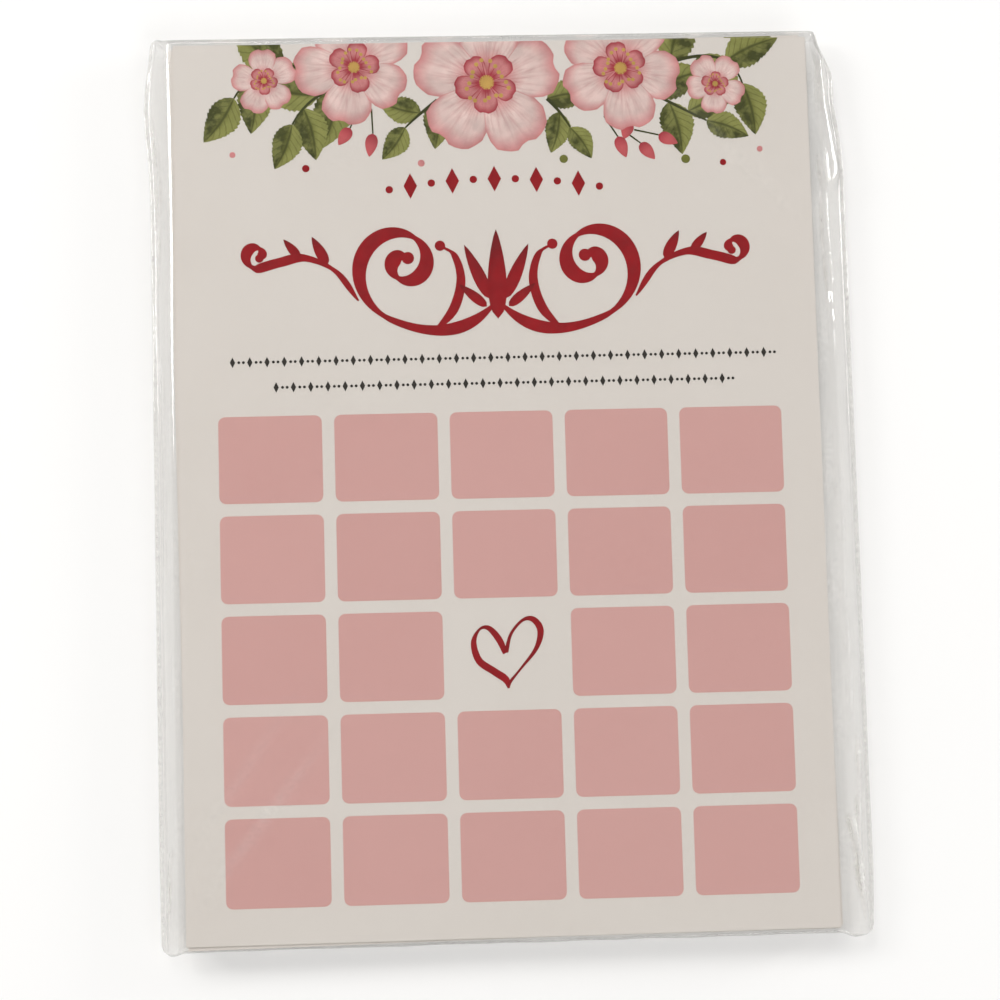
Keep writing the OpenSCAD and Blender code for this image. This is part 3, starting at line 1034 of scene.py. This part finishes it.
def reach_at(y, side):
    """How far the film slopes out to its weld, narrower at the mouth and at the foot's ears."""
    at_mouth = MOUTH_SHARE[side] + (1 - MOUTH_SHARE[side]) * ease((MOUTH_Y - y) / TAPER_L)
    at_foot = FOOT_SHARE + (1 - FOOT_SHARE) * ease((MOUTH_Y + y) / EAR_L)
    bulge, below, spread = SHOULDER[side]
    return REACH[side] * at_mouth * at_foot + bulge * np.exp(-(((MOUTH_Y - y - below) / spread) ** 2))


def knee(share, reach, drop, length, y):
    """How far the right side stands out at the knee where it turns down, most near the mouth."""
    knee_x = np.interp(MOUTH_Y - y, KNEE_BELOW, KNEE_SHARES) * reach
    knee_z = math.tan(math.radians(KNEE_TILT)) * knee_x
    strength = KNEE_LEAST + (1 - KNEE_LEAST) * smooth((y + 10) / 35)
    out = (knee_x * np.abs(drop) - knee_z * reach) / length * strength
    middle = (knee_x * reach + knee_z * np.abs(drop)) / length**2
    away = (share - middle) / np.where(share < middle, middle, 1 - middle)
    peak = np.hypot(1, KNEE_ROUND)
    return out * (peak - np.hypot(np.clip(away, -1, 1), KNEE_ROUND)) / (peak - KNEE_ROUND)


def creases(side, way, share, reach, drop, length, y):
    """How far the sloping film stands out, and how white it is, by its folds and its small wrinkles."""
    belly = np.sin(math.pi * np.clip(share, 0, 1))
    waves = np.sin(y / WAVE_L[0] + 2 * side) * np.sin(y / WAVE_L[1] + way)
    wrinkles = np.sin(y / WRINKLE_L + 4.0 * share + 1.7 * side + way)
    out = belly * (BELLY_H + WAVE_H * waves + WRINKLE_H * wrinkles)
    white = SLOPE_HAZE * belly
    if side > 0:
        ripple = np.sin(y * 1.5 + 0.8 * np.sin(y / 2.9))
        out = out + knee(share, reach, drop, length, y)
        out = out + belly * RIPPLE_H * ripple * between(y, *RIPPLE_SPAN)
        crinkled = belly * between(y, *CRINKLE_SPAN)
        out = out + CRINKLE_H * crinkled * np.sin(y * 1.9 + 6 * share) * np.sin(9 * share - y * 0.8)
        white = white + CRINKLE_HAZE * crinkled
    for fold_side, share_a, share_b, y_a, y_b, height, width, pale in FOLDS:
        if fold_side != side:
            continue
        t = (y_a - y) / (y_a - y_b)
        middle = share_a + (share_b - share_a) * np.clip(t, 0, 1) + 0.03 * np.sin(y / 5.0 + share_a * 9)
        ridge = np.exp(-(((share - middle) * length / width) ** 2)) * between(t, 0, 1, FOLD_FADE, FOLD_FADE)
        out = out + height * ridge * (1 if way > 0 else REAR_FOLD_SHARE)
        white = white + pale * ridge * (0.6 + 0.4 * np.sin(y / 1.7 + share_b * 5))
    return out, white


def side_strip(y, face_z, side, way):
    """One side of a film layer from its crease out to the weld's cut edge, a column for each step."""
    pinch = PINCH_W * between(y, *PINCH_SPAN)
    corner_x = CREASE[side] - side * pinch
    reach = reach_at(y, side) + pinch
    drop = WELD_Z + way * FILM_T / 2 - face_z
    length = np.hypot(reach, drop)
    run_x, run_z = side * reach / length, drop / length
    turn = np.minimum(TURN_L, 0.4 * length)
    t = np.linspace(0, 1, TURN_COLUMNS)
    share = turn / length + (1 - turn / length) * np.linspace(0, 1, SLOPE_COLUMNS + 1)
    out, white = creases(side, way, share, reach, drop, length, y)
    slope_x = corner_x + share * side * reach + side * out * np.abs(run_z)
    slope_z = face_z + share * drop + way * out * np.abs(run_x)
    bend_x = corner_x - (1 - t) ** 2 * turn * side + t**2 * (slope_x[:, :1] - corner_x)
    bend_z = face_z + t**2 * (slope_z[:, :1] - face_z)
    edge = np.linspace(0, 1, WELD_COLUMNS + 1)[1:]
    weld_x = corner_x + side * (reach + WELD_W * edge)
    weld_z = WELD_Z + way * FILM_T / 2 + WELD_WAVE * np.sin(y / 6.0 + side) * edge * np.sin(y / 17.0)
    x = np.hstack([bend_x, slope_x[:, 1:], weld_x])
    z = np.hstack([bend_z, slope_z[:, 1:], weld_z + 0 * y])
    bend_haze = TURN_HAZE * np.sin(math.pi * t) * (1 + 0.8 * np.sin(y / 4.0 + side))
    weld_haze = WELD_HAZE + EDGE_HAZE * np.sin(y / 0.8) + 0 * weld_x
    haze = np.hstack([bend_haze + 0 * y, white[:, 1:], weld_haze])
    return x, z, haze


def face_waves(x, y):
    """The low swells and the faint slack lines of the film over the cards."""
    swell = FACE_SWELL[0] * (1 + np.sin(x / 17.0 + y / 29.0))
    swell = swell + FACE_SWELL[1] * (1 + np.sin(x / 9.0 - y / 13.0))
    lines = 0
    for x_a, y_a, lean, height in SLACK_LINES:
        away = (y - y_a) - lean * (x - x_a)
        near = np.exp(-(((x - x_a) ** 2 + (y - y_a) ** 2) / SLACK_REACH**2))
        lines = lines + height * np.exp(-((away / SLACK_W) ** 2)) * near
    return swell, lines


def corner_cut(past_edge, radius):
    """How much of a seam's end a round corner takes off, by the distance past the seam's edge."""
    return radius - np.sqrt(radius**2 - np.clip(past_edge + radius, 0, radius) ** 2)


def seam_ends(x, y):
    """Draws the seams' ends out past the mouth and the foot, and rounds the bag's outer corners."""
    at_mouth = smooth((y - END_Y) / MOUTH_RUN)
    at_foot = smooth((-END_Y - y) / FOOT_RUN)
    for side in (-1, 1):
        out = side * (x - CREASE[side])
        edge = reach_at(y, side) + WELD_W
        mouth_cut = corner_cut(out - edge, MOUTH_R) * (edge > NARROW_SEAM)
        foot_cut = corner_cut(out - edge, FOOT_R)
        y = y + at_mouth * (MOUTH_HOOK[side] * smooth((out - MOUTH_RAMP[0]) / MOUTH_RAMP[1]) - mouth_cut)
        y = y - at_foot * (FOOT_HOOK[side] * smooth((out - FOOT_RAMP[0]) / FOOT_RAMP[1]) - foot_cut)
    return y


def layer(y, face_z, way):
    """A whole film layer across the bag, from the left weld's edge to the right one's."""
    left = [part[:, ::-1] for part in side_strip(y, face_z, -1, way)]
    right = side_strip(y, face_z, 1, way)
    left_x, right_x = left[0][:, -1:], right[0][:, :1]
    t = np.linspace(0, 1, FLAT_COLUMNS + 1)[1:-1]
    x = left_x * (1 - t) + right_x * t
    swell, lines = face_waves(x, y)
    upper = between(x, left_x, right_x, EDGE_RUN, EDGE_RUN) if way > 0 else 0 * x
    z = face_z + (swell + lines) * upper + 0 * y
    haze = FACE_HAZE + SLACK_HAZE * lines * upper
    return (np.hstack(parts) for parts in zip(left, (x, z, haze), right))


def rows_through(stops, counts):
    """A column of values from stop to stop, each run with its own count of steps."""
    runs = [np.linspace(a, b, n, endpoint=False) for a, b, n in zip(stops, stops[1:], counts)]
    return np.concatenate([*runs, stops[-1:]])[:, None]


def film_piece(name, x, y, z, haze, film, flip):
    """A sheet of film from a grid of points, with its haze and its thickness. flip turns its faces over."""
    points = np.stack([x, y, z], -1).reshape(-1, 3)
    faces = [face[::-1] if flip else face for face in grid_faces(*x.shape)]
    mesh = mesh_of(name, points, faces, material=film, smooth=True)
    worn = mesh.attributes.new("haze", "FLOAT", "POINT")
    worn.data.foreach_set("value", np.clip(haze, 0, 1).astype(np.float32).ravel())
    return thicken(object_of(name, mesh), FILM_T, 0)


def film_bag(film):
    """One sheet of film, from the mouth down over the cards, round the foot and back up under them."""
    front_y = rows_through((MOUTH_Y, *FRONT_STOPS, FOOT_Y), FRONT_ROWS)
    back_y = rows_through((FOOT_Y, *BACK_STOPS, MOUTH_Y), BACK_ROWS)
    front_x, front_z, front_haze = layer(front_y, FRONT_Z, 1)
    rear_face = REAR_Z + (LIP_Z - REAR_Z) * smooth((back_y - lip_low[1] + 1) / 1.5)
    rear_x, rear_z, rear_haze = layer(back_y, rear_face, -1)
    angle = np.linspace(0, math.pi, FOOT_ROWS + 2)[1:-1, None]
    down = 0.5 - 0.5 * np.sign(np.cos(angle)) * np.abs(np.cos(angle)) ** 0.5
    tall = np.clip((front_z[-1:] - rear_z[:1]) / (FRONT_Z - REAR_Z), 0.08, 1)
    foot_x = front_x[-1:] * (1 - down) + rear_x[:1] * down
    foot_z = front_z[-1:] * (1 - down) + rear_z[:1] * down
    pucker = FOOT_PUCKER * np.sin(foot_x / 3.1) * np.sin(foot_x / 7.7 + 1) * np.sin(angle)
    foot_y = FOOT_Y - (FOOT_DEPTH + pucker) * tall * np.sin(angle) ** 0.5
    foot_haze = EDGE_HAZE + 0.10 * (1 - np.sin(angle)) + 0 * foot_x
    x = np.vstack([front_x, foot_x, rear_x])
    y = np.vstack([front_y + 0 * front_x, foot_y, back_y + 0 * rear_x])
    z = np.vstack([front_z, foot_z, rear_z])
    haze = np.vstack([front_haze, foot_haze, rear_haze])
    return film_piece("film_bag", x, seam_ends(x, y), z, haze, film, True)


def mouth_band(film):
    """The film that turns down over the open mouth."""
    mouth = np.array([[MOUTH_Y]])
    top_x, top_z, _ = layer(mouth, FRONT_Z, 1)
    low_x, low_z, _ = layer(mouth, FLAP_Z, -1)
    down = np.linspace(0, 1, BAND_ROWS)[:, None]
    x = top_x * (1 - down) + low_x * down
    z = top_z * (1 - down) + low_z * down
    tall = (top_z - low_z) / (FRONT_Z - REAR_Z)
    belly = np.sin(math.pi * down) * (BAND_BELLY + BAND_PUCKER * np.sin(x / 2.3) * np.sin(x / 5.9 + 1))
    y = seam_ends(x, MOUTH_Y + FILM_T + belly * tall)
    haze = EDGE_HAZE + 0.12 * np.abs(1 - 2 * down) ** 8 + 0 * x
    return film_piece("mouth_band_film", x, y, z, haze, film, False)


def seal_flap(film):
    """The flap beyond the band, turned onto the back, with slanted ends."""
    away = np.linspace(0, 1, FLAP_ROWS)[:, None]
    y = flap_high[1] + (flap_low[1] - flap_high[1]) * away
    near = np.clip((y - flap_low[1]) / FLAP_CORNER, 0, 1)
    cut = FLAP_SLANT * away + FLAP_CORNER * (1 - np.sqrt(1 - (1 - near) ** 2))
    across = np.linspace(0, 1, FLAP_COLUMNS)
    x = (flap_low[0] + cut) * (1 - across) + (flap_high[0] - cut) * across
    haze = 0.03 + 0.2 * np.exp(-away * 40) + 0.12 * np.exp(-(1 - away) * 40) + 0 * x
    return film_piece("seal_flap_film", x, y + 0 * x, FLAP_Z + 0 * x, haze, film, True)


def dress_bag():
    film = clear_film("clear_film", FILM_SHEER, 0.05, 0.0)
    bag = film_bag(film)
    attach(bag, "bag")
    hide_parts("front_panel", "rear_panel", "rear_lip", "left_front_gusset", "left_rear_gusset",
                "right_front_gusset", "right_rear_gusset", "left_weld", "right_weld", "bottom_fold")
    band = mouth_band(film)
    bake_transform(band)
    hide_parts("mouth_band")
    flap = seal_flap(film)
    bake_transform(flap)
    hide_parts("seal_flap")
    strip = clear_film("adhesive", ADHESIVE_SHEER, 0.25, 0.1)
    for place in frame["nodes"]["seal_strip"].material_slots:
        place.material = strip


# Floor, light and camera

def floor_material():
    """A pale matt floor that keeps the pack's shadow and is seen to fade to white away from it."""
    material, tree = new_material("floor")
    where = put(tree, "ShaderNodeTexCoord").outputs["Object"]
    soft = ranged(tree, noise(tree, where, 6.0), 0.3, 0.7, 0.0, 1.0)
    colour = mixed(tree, soft, FLOOR, FLOOR_DEEP)
    matt = put(tree, "ShaderNodeBsdfDiffuse", {"Color": colour}).outputs[0]
    far = put(tree, "ShaderNodeVectorMath", operation="LENGTH")
    tree.links.new(where, far.inputs[0])
    ray = put(tree, "ShaderNodeLightPath").outputs
    seen = maths(tree, "MAXIMUM", ray["Is Camera Ray"], ray["Is Glossy Ray"])
    seen = maths(tree, "MAXIMUM", seen, ray["Is Transmission Ray"])
    share = maths(tree, "MULTIPLY", seen, ranged(tree, far.outputs["Value"], 0.2, 0.9, 0.35, 1.0))
    pale = put(tree, "ShaderNodeEmission", {"Color": (1, 1, 1, 1), "Strength": 1.0}).outputs[0]
    put(tree, "ShaderNodeOutputMaterial", {"Surface": mixed_shaders(tree, share, matt, pale)})
    return material


def stage():
    side, drop = 4000.0, -0.3
    corners = [(-side, -side, drop), (side, -side, drop), (side, side, drop), (-side, side, drop)]
    floor = object_of("floor", mesh_of("floor", corners, [(0, 1, 2, 3)], material=floor_material()))


def world(horizon, overhead):
    """A pale studio all round, with a dim ceiling that the film mirrors."""
    scene.world = bpy.data.worlds.new("studio")
    scene.world.use_nodes = True
    tree = scene.world.node_tree
    tree.nodes.clear()
    way = put(tree, "ShaderNodeTexCoord").outputs["Generated"]
    height = put(tree, "ShaderNodeSeparateXYZ", {"Vector": way}).outputs["Z"]
    strength = ranged(tree, height, 0.3, 0.75, horizon, overhead)
    light = put(tree, "ShaderNodeBackground", {"Color": (1, 0.995, 0.985, 1), "Strength": strength})
    put(tree, "ShaderNodeOutputWorld", {"Surface": light.outputs[0]})


def lamp(name, place, size, watts, colour=(1, 1, 1)):
    """A soft box that faces the pack. place is in metres, size in metres across and along."""
    data = bpy.data.lights.new(name, "AREA")
    data.shape = "RECTANGLE"
    data.size, data.size_y = size
    data.energy = watts
    data.color = colour
    light = bpy.data.objects.new(name, data)
    light.location = place
    light.rotation_euler = (-Vector(place)).to_track_quat("-Z", "Y").to_euler()
    scene.collection.objects.link(light)


def camera():
    data = bpy.data.cameras.new("camera")
    data.sensor_width = 36.0
    data.lens = 93.6
    view = bpy.data.objects.new("camera", data)
    view.location = (-0.0261, -0.0580, 0.5172)
    view.rotation_euler = (0.1075, -0.0447, -0.0280)
    scene.collection.objects.link(view)
    scene.camera = view


camera()
stage()
world(1.0, 0.05)
lamp("key", (-0.42, 0.93, 1.47), (0.68, 0.68), 12.0, (1, 0.99, 0.98))
lamp("fill", (0.30, -0.55, 0.75), (0.50, 0.50), 2.65)
lamp("left_window", (-0.54, 0.225, 0.54), (0.20, 0.28), 2.1)
lamp("right_window", (0.62, 0.21, 0.25), (0.14, 0.18), 1.15)
dress_cards()
dress_bag()
